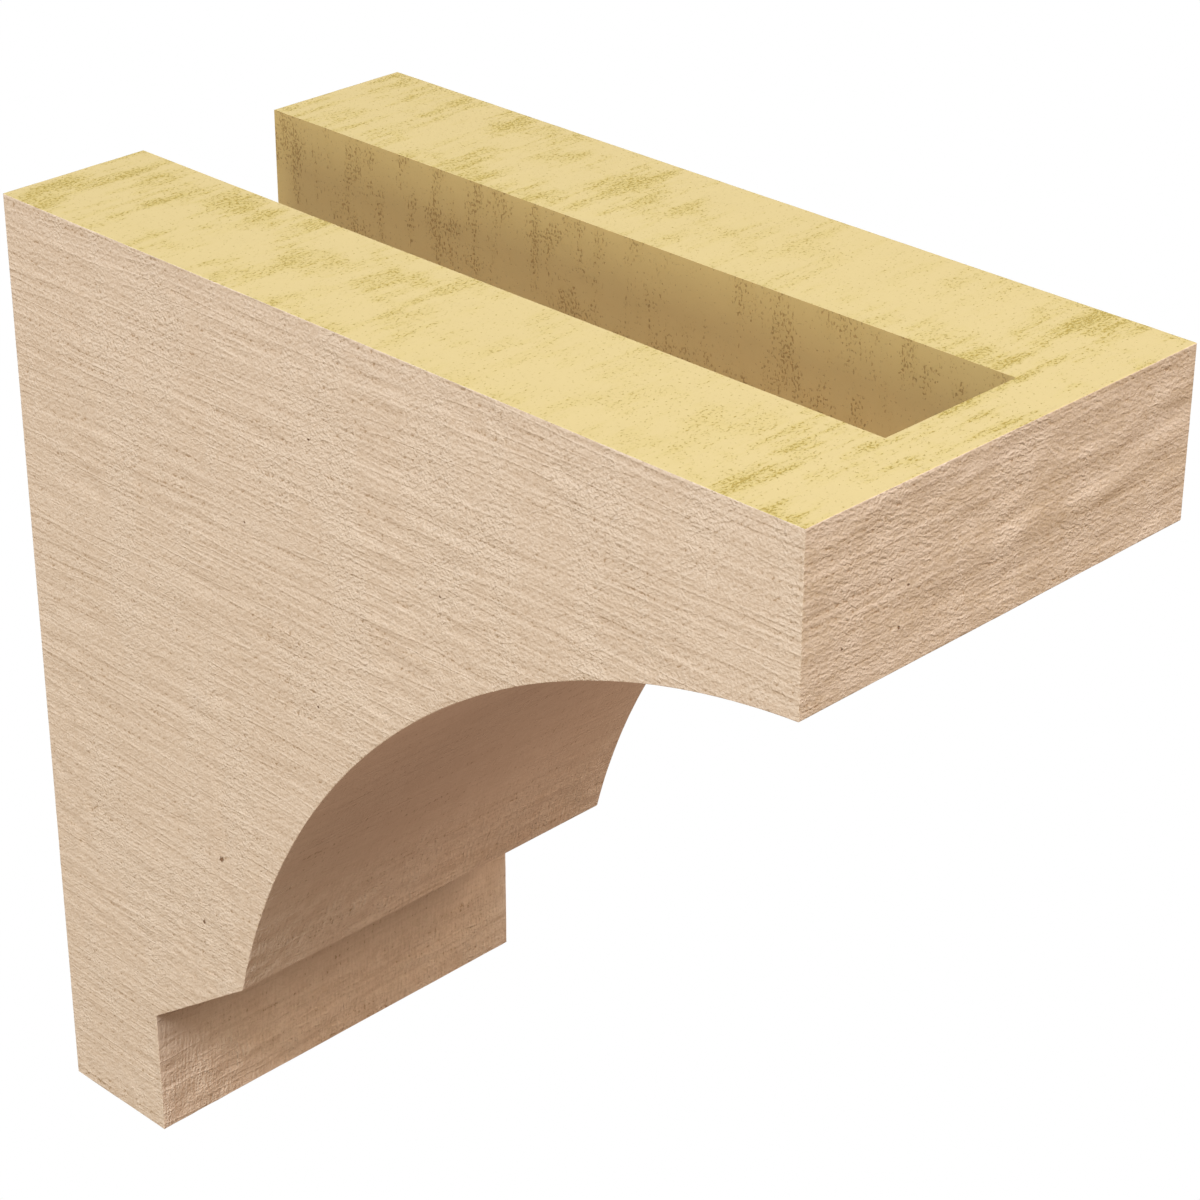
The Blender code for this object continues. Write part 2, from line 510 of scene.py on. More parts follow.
# %% Corners of the inner line
lip_way = runs["lip"][1][0]
inner_radius = COVE_RADIUS + SLOT_WALL
knee_reach = FOOT_EDGE[0] - SLOT_WALL
inside_lip = FOOT_EDGE + into_foam(lip_way) * SLOT_WALL
knee = inside_lip + lip_way * (knee_reach - inside_lip[0]) / lip_way[0]
ahead = (inside_lip - COVE_CENTRE) @ lip_way
apart = (inside_lip - COVE_CENTRE) @ (inside_lip - COVE_CENTRE)
inner_lip = inside_lip - lip_way * (ahead + math.sqrt(ahead**2 - apart + inner_radius**2))
rise = math.sqrt(inner_radius**2 - (SLOT_REACH - COVE_CENTRE[0]) ** 2)
front_low = np.array([SLOT_REACH, COVE_CENTRE[1] + rise])
front_top = np.array([SLOT_REACH, HEIGHT])
inner_start, inner_end = arc_angles(inner_lip, front_low, COVE_CENTRE)
print("the slot is", round((HEIGHT - front_low[1]) / MM, 1), "mm deep at its front")

# %% Inner line
INNER_CELLS = (5, 8, 41, 5)
inner_lengths = (knee[1] - SLOT_WALL, np.hypot(*(inner_lip - knee)),
                 inner_radius * (inner_start - inner_end), HEIGHT - front_low[1])
spacing = [np.linspace(0, length, count + 1) for length, count in zip(inner_lengths, INNER_CELLS)]
inner_runs = [
    straight_run(np.array([knee_reach, SLOT_WALL]), knee, spacing[0]),
    straight_run(knee, inner_lip, spacing[1]),
    arc_run(inner_start, inner_radius, COVE_CENTRE, spacing[2]),
    straight_run(front_low, front_top, spacing[3]),
]
inner_line = np.concatenate([inner_runs[0][0]] + [run[0][1:] for run in inner_runs[1:]])
print("the inner line has", len(inner_line), "points")

# %% [markdown]
# ## Walls and floor of the slot
#
# The slot's two sides are ruled from the back edge to the inner line, as the block's own sides
# are, and its floor is a band along the same line. Its edges are left crisp, as they look in
# the photo.

# %% Walls and floor of the slot
slot_back = back_edge[WEB_CELLS::COARSE]
row_length = np.hypot(*(inner_line - slot_back).T)[:, None]
kept = np.minimum(beside_slot, EDGE_BAND)
stretched = np.maximum(beside_slot - EDGE_BAND, 0) * (row_length - EDGE_BAND) / (SLOT_REACH - EDGE_BAND)
wall = slot_back[:, None] + ((kept + stretched) / row_length)[..., None] * (inner_line - slot_back)[:, None]

crisp = (False,) * 4
wall_grain = wall[..., ::-1]
for hand in (-1, 1):
    points = in_space(hand * SLOT_WIDTH / 2, wall[..., 0], wall[..., 1])
    add_panel(points, (-hand, 0, 0), wall_grain, "bare_slot", no_relief, crisp)

slot_columns = across[CHEEK_CELLS:CHEEK_CELLS + SLOT_CELLS + 1]
points, grain = band(wall[0], wall[0][:, 0], slot_columns)
add_panel(points, (0, 0, 1), grain, "bare_slot", cut_relief, crisp)
for place, direction, lines in inner_runs:
    points, grain = band(place, lines, slot_columns)
    add_panel(points, -outward_of(direction), grain, "bare_slot", cut_relief, crisp)
deepest = max(np.linalg.norm(panel["push"], axis=-1).max() for panel in panels)
print(len(panels), "panels in all, and the deepest mark is", round(deepest / MM, 2), "mm")

# %% [markdown]
# ## One closed mesh
#
# Panels that meet have the same points along their seam. Welding finds them by their position
# before any relief, and each welded point gets the push of every panel that it belongs to. That
# rounds an edge from both sides at once. The relief swings both ways, so at the end the mesh is
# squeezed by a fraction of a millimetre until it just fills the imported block's box.

# %% Weld
# Points in one cell of a very fine grid are one point. The grid is moved by a part of its step, so
# that no round measure lies on a border between two cells.
WELD_GRID = 1e-6
GRID_SHIFT = 0.37
SHARP_ANGLE = math.radians(40)


def weld(panels):
    """The welded points, each pushed by all its panels, and for each panel point the number of its own."""
    rest = np.concatenate([panel["points"] for panel in panels])
    push = np.concatenate([panel["push"] for panel in panels])
    keys = np.floor(rest / WELD_GRID + GRID_SHIFT).astype(np.int64)
    first, place = np.unique(keys, axis=0, return_index=True, return_inverse=True)[1:]
    place = place.ravel()
    points = rest[first]
    np.add.at(points, place, push)
    return points, place


def fit(points, low, high):
    """Moves and stretches each axis evenly, so that the points just fill the box."""
    start, end = points.min(0), points.max(0)
    return low + (points - start) * (high - low) / (end - start)


def build_mesh(name, panels):
    """One mesh of all panels, with the grain position as its UV map and a material for each finish."""
    points, place = weld(panels)
    swell = (np.ptp(points, 0) - (WIDTH, REACH, HEIGHT)) / MM
    print("before it is fitted, the mesh is larger than the block by", np.round(swell, 2), "mm")
    points = fit(points, np.array(low), np.array(high))
    starts = np.cumsum([0] + [len(panel["points"]) for panel in panels])
    faces, own, finish = [], [], []
    for panel, start in zip(panels, starts):
        for group in panel["faces"]:
            faces += place[group + start].tolist()
            own.append((group + start).ravel())
            finish.append(np.full(len(group), panel["finish"], np.int32))
    mesh = bpy.data.meshes.new(name)
    mesh.from_pydata(points.tolist(), [], faces)
    grain = np.concatenate([panel["grain"] for panel in panels])[np.concatenate(own)]
    mesh.uv_layers.new(name="grain").data.foreach_set("uv", grain.astype(np.float32).ravel())
    mesh.polygons.foreach_set("material_index", np.concatenate(finish))
    mesh.shade_smooth()
    mesh.set_sharp_from_angle(angle=SHARP_ANGLE)
    mesh.update()
    return mesh


def seam_report(mesh):
    """Edges that don't have exactly two faces, the number of triangles, and the volume in litres."""
    probe = bmesh.new()
    probe.from_mesh(mesh)
    loose = sum(not edge.is_manifold or not edge.is_contiguous for edge in probe.edges)
    triangles = sum(len(face.verts) - 2 for face in probe.faces)
    volume = probe.calc_volume(signed=True) * 1000
    probe.free()
    return loose, triangles, round(volume, 3)


corbel_mesh = build_mesh("corbel_moulding", panels)
corbel = bpy.data.objects.new("corbel_moulding", corbel_mesh)
bpy.context.scene.collection.objects.link(corbel)
print("open edges, triangles and litres:", seam_report(corbel_mesh))

# %% [markdown]
# ## Colours and nodes
#
# Colours are picked as a screen shows them, so each hex value is turned to linear light first.
# Every pattern below is noise over the grain position, multiplied so that one noise cell is as
# large as one real mark. A picture wrapped round the block would stretch on some faces and end
# at a seam. Noise does neither.

# %% Helpers for finishes
def linear(code):
    """An sRGB hex colour as linear light: the dark end is a straight line, the rest a power of 2.4."""
    parts = [int(code[start:start + 2], 16) / 255 for start in (0, 2, 4)]
    light = [part / 12.92 if part <= 0.04045 else ((part + 0.055) / 1.055) ** 2.4 for part in parts]
    return light + [1.0]


def add(tree, kind, inputs=None, **settings):
    """Adds a node. Settings go on the node itself, and inputs go to its sockets: a value or an output."""
    made = tree.nodes.new("ShaderNode" + kind)
    for name, value in settings.items():
        setattr(made, name, value)
    for socket, value in (inputs or {}).items():
        if isinstance(value, bpy.types.NodeSocket):
            tree.links.new(value, made.inputs[socket])
        else:
            made.inputs[socket].default_value = value
    return made


def per_mark(length, width):
    """What the grain position is multiplied by, so that one noise cell has this size in millimetres."""
    return 1 / (length * MM), 1 / (width * MM), 0


def start_material(name, roughness):
    """A new matt material with the IOR of polyurethane, its tree, its shader and the grain position."""
    material = bpy.data.materials.new(name)
    material.use_nodes = True
    tree = material.node_tree
    shader = tree.nodes["Principled BSDF"]
    shader.inputs["Roughness"].default_value = roughness
    shader.inputs["IOR"].default_value = 1.5
    return material, tree, shader, add(tree, "UVMap", uv_map="grain").outputs[0]


print("the tan of the side in linear light:", [round(part, 3) for part in linear("DBBCAC")[:3]])

# %% [markdown]
# ## Fine saw marks
#
# Tan primer on moulded polyurethane is dead matt, and thin enough to show every mark of the
# mould. The shape already holds the large saw marks. The finer ones are a bump, which bends the
# light and adds no points: long lines with a thin ridge here and there, short slanting strokes,
# and grit.

# %% Fine saw marks
# Sizes in millimetres, along the grain and across it. Real grit is about 0.3 mm. It is drawn at
# 0.9 mm, as fine as the picture can show.
SAW_LINE = (45, 1.5)
RIDGE = (50, 4)
GRIT = 0.9


def long_marks(tree, grain, ridges):
    """Lines of the saw, and thin ridges. A ridge runs where another noise passes its middle value, and it
    falls away smoothly on both sides of that."""
    place = add(tree, "VectorMath", {0: grain, 1: per_mark(*SAW_LINE)}, operation="MULTIPLY")
    lines = add(tree, "TexNoise", {"Vector": place.outputs[0], "Scale": 1.0, "Detail": 1.0,
                                   "Roughness": 0.5, "Distortion": 0.2}, noise_dimensions="2D")
    place = add(tree, "VectorMath", {0: grain, 1: per_mark(*RIDGE)}, operation="MULTIPLY")
    level = add(tree, "TexNoise", {"Vector": place.outputs[0], "Scale": 1.0, "Detail": 0.0},
                noise_dimensions="2D")
    off_level = add(tree, "Math", {0: level.outputs["Fac"], 1: 0.5}, operation="SUBTRACT")
    beside = add(tree, "Math", {0: off_level.outputs[0]}, operation="ABSOLUTE")
    ridge = add(tree, "MapRange", {"Value": beside.outputs[0], "From Min": 0.0, "From Max": 0.09,
                                   "To Min": ridges, "To Max": 0.0}, interpolation_type="SMOOTHSTEP")
    return lines.outputs["Fac"], ridge.outputs[0]


def short_marks(tree, grain, slant, stroke):
    """Strokes of a length and width in millimetres, turned from the grain by the slant, and the grit."""
    turned = add(tree, "Mapping", {"Vector": grain, "Rotation": (0, 0, math.radians(slant)),
                                   "Scale": (stroke[0] * MM, stroke[1] * MM, 1)}, vector_type="TEXTURE")
    strokes = add(tree, "TexNoise", {"Vector": turned.outputs[0], "Scale": 1.0, "Detail": 1.0,
                                     "Roughness": 0.5, "Distortion": 0.3}, noise_dimensions="2D")
    grit = add(tree, "TexNoise", {"Vector": grain, "Scale": 1 / (GRIT * MM), "Detail": 1.0,
                                  "Roughness": 0.5}, noise_dimensions="2D")
    return strokes.outputs["Fac"], grit.outputs["Fac"]


print("saw lines, ridges and grit, in mm:", SAW_LINE, RIDGE, GRIT)

# %% [markdown]
# ## Where the marks are strong
#
# Fibres tear in bands across the grain, so the short marks are stronger there. In the cove and
# on the foot they are strong near the lower edge, and above it the mould was smoother. Both are
# plain factors, and the height of the marks is multiplied by them.

# %% Strength of the marks
# How far a torn band goes along the grain and across it, in millimetres. Then how far above a face's
# lower edge the marks start to calm down, and how far above it they are calm.
TORN_BAND = (19, 60)
CALM_FROM, CALM_TO = 12 * MM, 45 * MM


def torn_bands(tree, grain, rough_band):
    """A factor that is 1 in most places and grows by rough_band in the torn bands."""
    place = add(tree, "VectorMath", {0: grain, 1: per_mark(*TORN_BAND)}, operation="MULTIPLY")
    bands = add(tree, "TexNoise", {"Vector": place.outputs[0], "Scale": 1.0, "Detail": 2.0,
                                   "Roughness": 0.6}, noise_dimensions="2D")
    torn = add(tree, "MapRange", {"Value": bands.outputs["Fac"], "From Min": 0.45, "From Max": 0.65,
                                  "To Min": 1.0, "To Max": 1.0 + rough_band},
               interpolation_type="SMOOTHSTEP")
    return torn.outputs[0]


def calm_above(tree, grain, calm):
    """A factor that falls from 2 - calm near a face's lower edge to calm high above it."""
    above = add(tree, "SeparateXYZ", {0: grain})
    factor = add(tree, "MapRange", {"Value": above.outputs["Y"], "From Min": CALM_FROM, "From Max": CALM_TO,
                                    "To Min": 2 - calm, "To Max": calm}, interpolation_type="SMOOTHSTEP")
    return factor.outputs[0]


def height_of_marks(tree, fine_marks, lines, strokes, grit, torn, calming):
    """The bump in millimetres: grit and strokes, centred on zero, times both factors, and then the lines
    and the ridges on top."""
    long_lines, ridge, short_strokes, fine = fine_marks
    factor = add(tree, "Math", {0: torn, 1: calming}, operation="MULTIPLY")
    centred = add(tree, "Math", {0: fine, 1: grit, 2: -(grit + strokes) / 2}, operation="MULTIPLY_ADD")
    rough = add(tree, "Math", {0: short_strokes, 1: strokes, 2: centred.outputs[0]},
                operation="MULTIPLY_ADD")
    strong = add(tree, "Math", {0: rough.outputs[0], 1: factor.outputs[0]}, operation="MULTIPLY")
    lined = add(tree, "Math", {0: long_lines, 1: lines, 2: strong.outputs[0]}, operation="MULTIPLY_ADD")
    return add(tree, "Math", {0: lined.outputs[0], 1: ridge}, operation="ADD").outputs[0]


print("the marks calm down from", round(CALM_FROM / MM), "to", round(CALM_TO / MM), "mm above an edge")

# %% [markdown]
# ## Colour of the primer
#
# One coat of primer is never quite even. It varies in long clouds and small blotches, and deep in
# the marks it is painted darker, on raised marks paler: painted shade. Where every mark is low at
# once, a small pit is painted with the dark shade of its bottom. A few larger bubbles broke open at
# the mould and left pinholes, which look dark because little light gets to the bottom.

# %% Colour of the primer
# The pits and the pinholes are painted in these shades of their dark bottoms.
PIT_SHADE = "A98368"
HOLE_SHADE = "805A42"

# The length and width of a cloud, the size of a blotch and the depth of a pinhole, in millimetres.
PRIMER_CLOUD = (60, 14)
BLOTCH = 4.5
HOLE_DEPTH = 0.3


def pale_share(tree, grain, all_marks, groove_shade, mottle, torn, calming):
    """How much of the paler colour shows: clouds, and the height of the marks as painted shade, darker in
    the low marks and paler on the raised ones, shared out between the two by one share, and the blotches.
    All of it is then multiplied by the calming factor about the middle, one half."""
    place = add(tree, "VectorMath", {0: grain, 1: per_mark(*PRIMER_CLOUD)}, operation="MULTIPLY")
    cloud = add(tree, "TexNoise", {"Vector": place.outputs[0], "Scale": 1.0, "Detail": 3.0,
                                   "Roughness": 0.6}, noise_dimensions="2D")
    clouded = add(tree, "MapRange", {"Value": cloud.outputs["Fac"], "From Min": 0.3, "From Max": 0.7,
                                     "To Min": 0.0, "To Max": 1 - groove_shade})
    # Painted shade: low marks take the darker primer and raised ones the paler.
    raised = add(tree, "MapRange", {"Value": all_marks, "From Min": 1.2, "From Max": 1.8,
                                    "To Min": 0.0, "To Max": groove_shade})
    marked = add(tree, "Math", {0: clouded.outputs[0], 1: raised.outputs[0]}, operation="ADD")

    # Torn fibres shade each other, so they are made paler, and the bands come out no darker.
    torn_tone = add(tree, "Math", {0: torn, 1: 0.5, 2: -0.5}, operation="MULTIPLY_ADD")
    toned = add(tree, "Math", {0: marked.outputs[0], 1: torn_tone.outputs[0]}, operation="ADD")
    blotches = add(tree, "TexNoise", {"Vector": grain, "Scale": 1 / (BLOTCH * MM), "Detail": 2.0,
                                      "Roughness": 0.6}, noise_dimensions="2D")
    blotched = add(tree, "Math", {0: blotches.outputs["Fac"], 1: mottle, 2: -mottle / 2},
                   operation="MULTIPLY_ADD")
    spread = add(tree, "Math", {0: toned.outputs[0], 1: blotched.outputs[0]}, operation="ADD")
    middle = add(tree, "Math", {0: calming, 1: -0.5, 2: 0.5}, operation="MULTIPLY_ADD")
    share = add(tree, "Math", {0: spread.outputs[0], 1: calming, 2: middle.outputs[0]},
                operation="MULTIPLY_ADD")
    return share.outputs[0]


def open_pits(tree, all_marks, colour):
    """The colour with the painted shade of small pits, which lie where the sum of the marks is below its
    usual range.
    """
    pit = add(tree, "MapRange", {"Value": all_marks, "From Min": 0.95, "From Max": 1.08,
                                 "To Min": 0.8, "To Max": 0.0}, interpolation_type="SMOOTHSTEP")
    mixed = add(tree, "MixRGB", {"Fac": pit.outputs[0], "Color1": colour, "Color2": linear(PIT_SHADE)})
    return mixed.outputs[0]


def open_pinholes(tree, grain, fine, pinholes, height, colour):
    """Height and colour with the pinholes: deeper and darker within a radius that the grit makes uneven."""
    for centre, radius in pinholes:
        away = add(tree, "VectorMath", {0: grain, 1: (*centre, 0)}, operation="DISTANCE")
        uneven = add(tree, "Math", {0: fine, 1: radius, 2: away.outputs["Value"]},
                     operation="MULTIPLY_ADD")
        hole = add(tree, "MapRange", {"Value": uneven.outputs[0], "From Min": radius,
                                      "From Max": 1.7 * radius, "To Min": 1.0, "To Max": 0.0},
                   interpolation_type="SMOOTHSTEP")
        deeper = add(tree, "Math", {0: hole.outputs[0], 1: -HOLE_DEPTH, 2: height},
                     operation="MULTIPLY_ADD")
        darker = add(tree, "MixRGB", {"Fac": hole.outputs[0], "Color1": colour,
                                      "Color2": linear(HOLE_SHADE)})
        height, colour = deeper.outputs[0], darker.outputs[0]
    return height, colour


print("a pinhole in linear light:", [round(part, 3) for part in linear(HOLE_SHADE)[:3]])

# %% [markdown]
# ## Three primed skins
#
# The block is primed all over in one tan, but the eye sees three skins. The sides have long saw
# lines. The nose was rougher, and its primer is painted a little darker, as painted shade. The cove,
# the lip and the foot are soft, with fine upright scratches near their lower edges, and their primer
# is painted a little paler, as painted light. One function makes all three from their own numbers.

# %% Primed skin
def primed_sawn_skin(name, pale, deep, groove_shade, lines, ridges, strokes, grit, rough_band, slant,
                     stroke=(3.2, 1.1), calm=1.0, mottle=0.0, pinholes=()):
    """Builds one primed finish. The share of painted shade is how far the darker primer keeps to the low
    marks and the paler to the raised ones. Lines, ridges, strokes and grit are heights in millimetres. The
    slant of the strokes is in degrees, and their length and width are in millimetres. Calm is the factor
    high on a face, mottle is the contrast of the blotches, and each pinhole is a grain position with a
    radius."""
    material, tree, shader, grain = start_material(name, 0.86)
    long_lines, ridge = long_marks(tree, grain, ridges)
    short_strokes, fine = short_marks(tree, grain, slant, stroke)
    torn = torn_bands(tree, grain, rough_band)
    calming = calm_above(tree, grain, calm)
    fine_marks = long_lines, ridge, short_strokes, fine
    height = height_of_marks(tree, fine_marks, lines, strokes, grit, torn, calming)

    marks = add(tree, "Math", {0: long_lines, 1: short_strokes}, operation="ADD")
    all_marks = add(tree, "Math", {0: marks.outputs[0], 1: fine}, operation="ADD").outputs[0]
    share = pale_share(tree, grain, all_marks, groove_shade, mottle, torn, calming)
    primer = add(tree, "MixRGB", {"Fac": share, "Color1": linear(deep), "Color2": linear(pale)})
    colour = open_pits(tree, all_marks, primer.outputs[0])
    height, colour = open_pinholes(tree, grain, fine, pinholes, height, colour)

    bump = add(tree, "Bump", {"Height": height, "Strength": 1.0, "Distance": MM})
    tree.links.new(bump.outputs["Normal"], shader.inputs["Normal"])
    tree.links.new(colour, shader.inputs["Base Color"])
    return material


# Where the larger bubbles broke open. On the left side each has its distance from the wall and below
# the top, and on the nose from the left edge and below the top, in inches. The radius is in
# millimetres. The left side is the first panel, so its grain position isn't moved on. The nose is the
# third, so its own is moved on by two steps.
STEPS_TO_NOSE = 2
SIDE_PINHOLES = [(5.14, 1.36, 0.45), (5.12, 4.57, 0.45), (7.11, 2.49, 0.4), (4.0, 2.72, 0.4),
                 (3.25, 7.35, 1.0), (2.85, 8.4, 0.7)]
NOSE_PINHOLES = [(1.27, 0.98, 0.4), (1.52, 1.12, 0.45), (1.4, 1.53, 0.5), (0.58, 1.45, 0.4)]
on_side = [((reach * INCH, HEIGHT - below * INCH), radius * MM) for reach, below, radius in SIDE_PINHOLES]
nose_left = STEPS_TO_NOSE * PANEL_STEP - WIDTH / 2
on_nose = [((nose_left + x * INCH, NOSE_HEIGHT - below * INCH), radius * MM)
           for x, below, radius in NOSE_PINHOLES]
print(len(on_side), "pinholes on the left side and", len(on_nose), "on the nose")

# %% Primed skins
# The nose's darker primer is painted shade and the cove's paler primer painted light; the sides hold the one
# tan.
SKINS = {
    "sawn_side": primed_sawn_skin(
        "primed_foam_sawn_side", pale="DBBCAC", deep="CDAC99", groove_shade=0.88, lines=0.22, ridges=0.1,
        strokes=0.26, grit=0.27, rough_band=0.6, slant=35, pinholes=on_side),
    "sawn_nose": primed_sawn_skin(
        "primed_foam_sawn_nose", pale="D8BBAB", deep="C2A28A", groove_shade=0.6, lines=0.18, ridges=0.03,
        strokes=0.21, grit=0.19, rough_band=0.5, slant=-25, pinholes=on_nose),
    "sawn_cove": primed_sawn_skin(
        "primed_foam_sawn_cove", pale="DFBFAE", deep="CFAD9A", groove_shade=0.7, lines=0.12, ridges=0.12,
        strokes=0.27, grit=0.2, rough_band=0.5, slant=84, stroke=(5.5, 1.0), calm=0.45, mottle=0.9),
}
print("primed finishes:", list(SKINS))

# %% [markdown]
# ## Open cells of the foam
#
# Rigid polyurethane foam is pale yellow where it is dense. Where bubbles gathered while it rose,
# they were drawn out into streaks. There are many near the wall, few in the middle of the reach,
# and some again at the nose. So a density is worked out first, and it then decides how much of
# the surface is open cells.

# %% Streaks
# Sizes in millimetres, then the reaches where the streaks get fewer and where they come back.
STREAK_LENGTH = 40
FOAM_CLOUD = 22
FEWER_FROM, FEWER_TO = 4.5 * INCH, 7 * INCH
BACK_FROM, BACK_TO = 9.5 * INCH, 11 * INCH
SHARE_AT_NOSE = 1.3


def streaks_and_clouds(tree, grain, streak_width, share_at_middle):
    """How densely the cells lie, and the clouds alone. Streaks and clouds are added, what stands out of the
    sum is kept, and it is multiplied by a share that depends on the reach."""
    place = add(tree, "VectorMath", {0: grain, 1: per_mark(STREAK_LENGTH, streak_width)},
                operation="MULTIPLY")
    streaks = add(tree, "TexNoise", {"Vector": place.outputs[0], "Scale": 1.0, "Detail": 4.0,
                                     "Roughness": 0.65}, noise_dimensions="2D")
    clouds = add(tree, "TexNoise", {"Vector": grain, "Scale": 1 / (FOAM_CLOUD * MM), "Detail": 3.0,
                                    "Roughness": 0.6}, noise_dimensions="2D")
    added = add(tree, "Math", {0: streaks.outputs["Fac"], 1: clouds.outputs["Fac"]}, operation="ADD")
    gathered = add(tree, "MapRange", {"Value": added.outputs[0], "From Min": 0.87, "From Max": 1.37},
                   interpolation_type="SMOOTHSTEP")

    reach = add(tree, "SeparateXYZ", {0: grain}).outputs["Y"]
    fewer = add(tree, "MapRange", {"Value": reach, "From Min": FEWER_FROM, "From Max": FEWER_TO,
                                   "To Min": 1.0, "To Max": share_at_middle},
                interpolation_type="SMOOTHSTEP")
    back = add(tree, "MapRange", {"Value": reach, "From Min": BACK_FROM, "From Max": BACK_TO,
                                  "To Min": 0.0, "To Max": SHARE_AT_NOSE}, interpolation_type="SMOOTHSTEP")
    share = add(tree, "Math", {0: fewer.outputs[0], 1: back.outputs[0]}, operation="MAXIMUM")
    density = add(tree, "Math", {0: gathered.outputs[0], 1: share.outputs[0]}, operation="MULTIPLY")
    return density.outputs[0], clouds.outputs["Fac"]


print("fewest streaks from", round(FEWER_TO / INCH, 1), "to", round(BACK_FROM / INCH, 1), "inches out")

# %% [markdown]
# ## Small and large cells
#
# Most cells are 0.3 mm or less, too fine to show, so the small ones are drawn as specks of 1.1
# by 0.7 mm. Larger ones, where several bubbles ran together, are drawn one by one, with a ragged
# edge.

# %% Cells
# Sizes in millimetres.
SMALL_CELL = (1.1, 0.7)
LARGE_CELL = (1.5, 1.0)


def small_cells(tree, grain, density, darkness):
    """Specks, where noise plus a fifth of the density is high, and that noise by itself."""
    place = add(tree, "VectorMath", {0: grain, 1: per_mark(*SMALL_CELL)}, operation="MULTIPLY")
    specks = add(tree, "TexNoise", {"Vector": place.outputs[0], "Scale": 1.0, "Detail": 2.0,
                                    "Roughness": 0.6}, noise_dimensions="2D")
    dense = add(tree, "Math", {0: density, 1: 0.2, 2: specks.outputs["Fac"]}, operation="MULTIPLY_ADD")
    small = add(tree, "MapRange", {"Value": dense.outputs[0], "From Min": 0.66, "From Max": 0.8,
                                   "To Min": 0.0, "To Max": darkness}, interpolation_type="SMOOTHSTEP")
    return small.outputs[0], specks.outputs["Fac"]


def large_cells(tree, grain, density, specks, darkness):
    """Ragged dots: the distance from the middle of a patch, less the speck noise. Each patch draws a lot,
    and it holds a cell if its lot is below the density."""
    place = add(tree, "VectorMath", {0: grain, 1: per_mark(*LARGE_CELL)}, operation="MULTIPLY")
    patches = add(tree, "TexVoronoi", {"Vector": place.outputs[0], "Scale": 1.0}, voronoi_dimensions="2D")
    away = add(tree, "Math", {0: specks, 1: -1.2, 2: patches.outputs["Distance"]},
               operation="MULTIPLY_ADD")
    dot = add(tree, "MapRange", {"Value": away.outputs[0], "From Min": -0.45, "From Max": -0.15,
                                 "To Min": 1.0, "To Max": 0.0}, interpolation_type="SMOOTHSTEP")
    lot = add(tree, "SeparateColor", {0: patches.outputs["Color"]})
    chosen = add(tree, "Math", {0: density, 1: lot.outputs["Red"]}, operation="SUBTRACT")
    opened = add(tree, "MapRange", {"Value": chosen.outputs[0], "From Min": -0.03, "From Max": 0.3,
                                    "To Min": 0.0, "To Max": darkness})
    return add(tree, "Math", {0: opened.outputs[0], 1: dot.outputs[0]}, operation="MULTIPLY").outputs[0]


print("small and large cells, in mm:", SMALL_CELL, LARGE_CELL)

# %% [markdown]
# ## Two bare faces
#
# The open cells look olive on the top, which is in full light. In the slot they are painted brown,
# and the foam between them a little darker and more yellow, as painted shade. The foam has no coat,
# so it is even more matt than the primer. The cells are a little deeper than the skin between them,
# and that skin swells softly.

# %% Bare foam
# How deep a cell is and how far the skin swells, in millimetres.
CELL_DEPTH = 0.1
SKIN_SWELL = 0.3


def bare_foam(name, clear, cloudy, pore, streak_width, share_at_middle, small_pores, large_pores):
    """Builds one bare finish. The density tints the clear foam towards the cloudy colour, and an open cell
    shows the pore colour. The width of a streak is in millimetres."""
    material, tree, shader, grain = start_material(name, 0.9)
    density, clouds = streaks_and_clouds(tree, grain, streak_width, share_at_middle)
    small, specks = small_cells(tree, grain, density, small_pores)
    large = large_cells(tree, grain, density, specks, large_pores)
    pores = add(tree, "Math", {0: small, 1: large}, operation="MAXIMUM").outputs[0]

    tint = add(tree, "MixRGB", {"Fac": density, "Color1": linear(clear), "Color2": linear(cloudy)})
    colour = add(tree, "MixRGB", {"Fac": pores, "Color1": tint.outputs[0], "Color2": linear(pore)})
    tree.links.new(colour.outputs[0], shader.inputs["Base Color"])

    depth = add(tree, "Math", {0: pores, 1: -CELL_DEPTH}, operation="MULTIPLY")
    skin = add(tree, "Math", {0: clouds, 1: SKIN_SWELL, 2: depth.outputs[0]}, operation="MULTIPLY_ADD")
    bump = add(tree, "Bump", {"Height": skin.outputs[0], "Strength": 1.0, "Distance": MM})
    tree.links.new(bump.outputs["Normal"], shader.inputs["Normal"])
    return material


# The slot's copy, which also covers the back, is painted darker, with brown pores: painted shade.
FOAMS = {
    "bare_top": bare_foam(
        "bare_foam_top", clear="CCB180", cloudy="C7AC6F", pore="AA8D47", streak_width=5,
        share_at_middle=0.5, small_pores=1.0, large_pores=0.55),
    "bare_slot": bare_foam(
        "bare_foam_slot", clear="CAA770", cloudy="C7A36A", pore="987243", streak_width=7,
        share_at_middle=0.8, small_pores=0.7, large_pores=0.7),
}
print("bare finishes:", list(FOAMS))

# %% [markdown]
# ## Dressing the mesh
#
# Each face of the mesh already knows the number of its finish. The materials are added in that
# order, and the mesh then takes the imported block's place.

# %% Dress
finishes = {**SKINS, **FOAMS}
for finish in FINISHES:
    corbel_mesh.materials.append(finishes[finish])
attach(corbel, "root")
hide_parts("corbel")
print("finishes on the corbel:", [material.name for material in corbel_mesh.materials])

# %% [markdown]
# ## The studio
#
# The photo shows the corbel cut out on plain white. The floor and the backdrop here glow an even
# white that only the camera sees, so they are plain without lighting the corbel.

# %% Floor and backdrop
FLOOR_DROP = 1.5
FLOOR_SIZE = 12.0
DOME_RADIUS = 9.0

